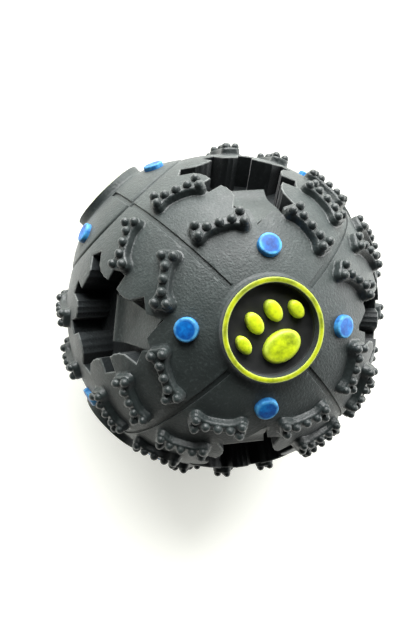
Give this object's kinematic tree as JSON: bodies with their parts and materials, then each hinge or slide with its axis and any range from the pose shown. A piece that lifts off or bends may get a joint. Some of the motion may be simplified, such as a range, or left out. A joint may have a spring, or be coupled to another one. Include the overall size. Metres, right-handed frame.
{
  "type": "squeaky dog ball",
  "caption": "Rubber dog ball with bone-shaped treads, toothed treat pockets and paw medallions, holding a sliding reed squeaker behind a glued end cap.",
  "frame": {"origin": "centre of the ball", "axes": "+Z out through the medallion that faces the camera in the picture, which is up at rest; +Y out through the end cap; +X out through the medallion on the right"},
  "size_m": [0.095, 0.0965, 0.095],
  "materials": {
    "charcoal_rubber": "matte, fine grain",
    "black_rubber": "satin",
    "lime_vinyl": "satin",
    "blue_vinyl": "satin",
    "white_plastic": "moulded",
    "grey_felt": "felt",
    "plated_steel": "plated",
    "amber_film": "thin film"
  },
  "bodies": {
    "ball": {"ball_shell": "charcoal_rubber", "end_cap": "charcoal_rubber", "right_ring": "lime_vinyl", "right_paw_disc": "black_rubber", "right_stud_1": "blue_vinyl", "right_stud_2": "blue_vinyl", "right_stud_3": "blue_vinyl", "right_stud_4": "blue_vinyl", "top_ring": "lime_vinyl", "top_paw_disc": "black_rubber", "top_stud_1": "blue_vinyl", "top_stud_2": "blue_vinyl", "top_stud_3": "blue_vinyl", "top_stud_4": "blue_vinyl", "bottom_ring": "lime_vinyl", "bottom_paw_disc": "black_rubber", "bottom_stud_1": "blue_vinyl", "bottom_stud_2": "blue_vinyl", "bottom_stud_3": "blue_vinyl", "bottom_stud_4": "blue_vinyl", "left_ring": "lime_vinyl", "left_paw_disc": "black_rubber", "left_stud_1": "blue_vinyl", "left_stud_2": "blue_vinyl", "left_stud_3": "blue_vinyl", "left_stud_4": "blue_vinyl", "back_ring": "lime_vinyl", "back_paw_disc": "black_rubber", "back_stud_1": "blue_vinyl", "back_stud_2": "blue_vinyl", "back_stud_3": "blue_vinyl", "back_stud_4": "blue_vinyl", "front_ring": "lime_vinyl", "front_paw_disc": "black_rubber", "front_stud_1": "blue_vinyl", "front_stud_2": "blue_vinyl", "front_stud_3": "blue_vinyl", "front_stud_4": "blue_vinyl", "sound_tube": "white_plastic", "tube_front_end": "white_plastic", "tube_rear_end": "white_plastic"},
    "carriage": {"reed_carriage": "white_plastic", "felt_wiper": "grey_felt", "slide_weight": "plated_steel", "reed_clip": "white_plastic"},
    "reed": {"reed": "amber_film"}
  },
  "joints": [
    {"name": "carriage_slide", "type": "slide", "parent": "ball", "child": "carriage", "axis": [0, 1, 0], "range_m": [0, 0.0285]},
    {"name": "reed_flutter", "type": "hinge", "parent": "carriage", "child": "reed", "pos_m": [0, -0.00975, 0.00205], "axis": [1, 0, 0], "range_deg": [0, 3], "stiffness_Nm_per_rad": 0.0001}
  ]
}
